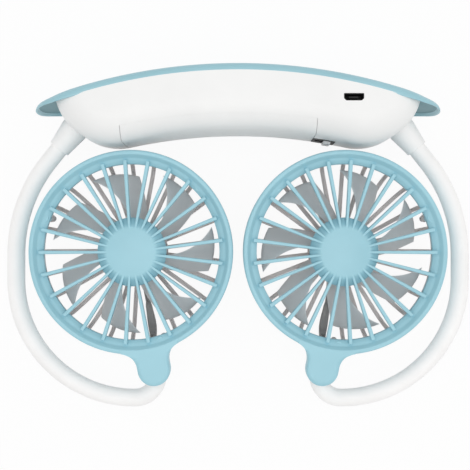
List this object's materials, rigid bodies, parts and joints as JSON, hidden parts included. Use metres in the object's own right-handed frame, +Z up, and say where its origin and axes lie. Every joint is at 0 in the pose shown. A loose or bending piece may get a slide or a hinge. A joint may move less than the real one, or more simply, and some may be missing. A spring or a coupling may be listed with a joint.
{
  "type": "electric neck fan",
  "caption": "Neck fan with a curved battery casing, bendable arms and round fan heads behind spoked grilles, folded flat.",
  "frame": {"origin": "middle of the outer box, on the plane that the folded fan lies on", "axes": "+X across the fan, towards the arm beside the charging socket; +Y from the heads to the back cover; +Z up from the table, towards the front grilles"},
  "size_m": [0.201, 0.1452, 0.041],
  "materials": {
    "cover_blue": "satin",
    "head_blue": "satin",
    "body_white": "satin",
    "arm_white": "matt",
    "grille_grey": "matt",
    "duct_grey": "matt",
    "blade_grey": "satin",
    "black_plastic": "matt",
    "knob_white": "matt",
    "cell_wrap": "gloss",
    "nickel": "satin",
    "steel": "satin",
    "board_green": "satin",
    "lead_red": "matt",
    "magnet": "matt",
    "copper": "satin",
    "bronze": "satin"
  },
  "bodies": {
    "casing": {"back_cover": "cover_blue", "body_shell": "body_white", "neck_panel": "body_white", "battery_cell": "cell_wrap", "battery_tabs": "nickel", "battery_leads": "lead_red", "circuit_board": "board_green", "board_chips": "black_plastic", "board_screws": "steel", "usb_socket": "nickel", "usb_tongue": "black_plastic", "switch_plate": "black_plastic", "switch_body": "nickel", "left_arm_collar": "body_white", "right_arm_collar": "body_white", "left_root_ferrule": "steel", "right_root_ferrule": "steel", "left_root_flex": "arm_white", "right_root_flex": "arm_white"},
    "knob": {"slide_knob": "knob_white"},
    "left_upper": {"left_upper_arm": "arm_white", "left_upper_core": "steel", "left_mid_flex": "arm_white"},
    "left_lower": {"left_lower_arm": "arm_white", "left_lower_core": "steel", "left_tip_flex": "arm_white"},
    "left_head": {"left_end_ferrule": "steel", "left_front_grille": "head_blue", "left_rear_grille": "grille_grey", "left_wire_duct": "duct_grey", "left_motor_leads": "duct_grey", "left_head_screws": "steel", "left_motor_can": "steel", "left_motor_magnets": "magnet", "left_motor_cap": "black_plastic", "left_motor_bush": "bronze"},
    "left_fan": {"left_impeller": "blade_grey", "left_motor_shaft": "steel", "left_motor_rotor": "copper"},
    "right_upper": {"right_upper_arm": "arm_white", "right_upper_core": "steel", "right_mid_flex": "arm_white"},
    "right_lower": {"right_lower_arm": "arm_white", "right_lower_core": "steel", "right_tip_flex": "arm_white"},
    "right_head": {"right_end_ferrule": "steel", "right_front_grille": "head_blue", "right_rear_grille": "grille_grey", "right_wire_duct": "duct_grey", "right_motor_leads": "duct_grey", "right_head_screws": "steel", "right_motor_can": "steel", "right_motor_magnets": "magnet", "right_motor_cap": "black_plastic", "right_motor_bush": "bronze"},
    "right_fan": {"right_impeller": "blade_grey", "right_motor_shaft": "steel", "right_motor_rotor": "copper"}
  },
  "joints": [
    {"name": "switch_slide", "type": "slide", "parent": "casing", "child": "knob", "axis": [-0.9862, 0.1658, 0], "range_m": [0, 0.004]},
    {"name": "left_arm_swing", "type": "hinge", "parent": "casing", "child": "left_upper", "pos_m": [-0.07975, 0.03748, 0.017], "axis": [0, 0, -1], "range_deg": [0, 50], "deforming": ["left_root_flex"]},
    {"name": "left_arm_bend", "type": "hinge", "parent": "left_upper", "child": "left_lower", "pos_m": [-0.0967, -0.01199, 0.017], "axis": [0, 0, -1], "range_deg": [0, 40], "deforming": ["left_mid_flex"]},
    {"name": "left_head_tilt", "type": "hinge", "parent": "left_lower", "child": "left_head", "pos_m": [-0.03394, -0.06307, 0.017], "axis": [1, 0, 0], "range_deg": [-45, 80], "deforming": ["left_tip_flex"]},
    {"name": "left_fan_spin", "type": "hinge", "parent": "left_head", "child": "left_fan", "pos_m": [-0.0452, -0.00515, 0.015], "axis": [0, 0, -1], "continuous": true},
    {"name": "right_arm_swing", "type": "hinge", "parent": "casing", "child": "right_upper", "pos_m": [0.07975, 0.03748, 0.017], "axis": [0, 0, 1], "range_deg": [0, 50], "deforming": ["right_root_flex"]},
    {"name": "right_arm_bend", "type": "hinge", "parent": "right_upper", "child": "right_lower", "pos_m": [0.0967, -0.01199, 0.017], "axis": [0, 0, 1], "range_deg": [0, 40], "deforming": ["right_mid_flex"]},
    {"name": "right_head_tilt", "type": "hinge", "parent": "right_lower", "child": "right_head", "pos_m": [0.03394, -0.06307, 0.017], "axis": [1, 0, 0], "range_deg": [-45, 80], "deforming": ["right_tip_flex"]},
    {"name": "right_fan_spin", "type": "hinge", "parent": "right_head", "child": "right_fan", "pos_m": [0.0452, -0.00515, 0.015], "axis": [0, 0, -1], "continuous": true}
  ]
}
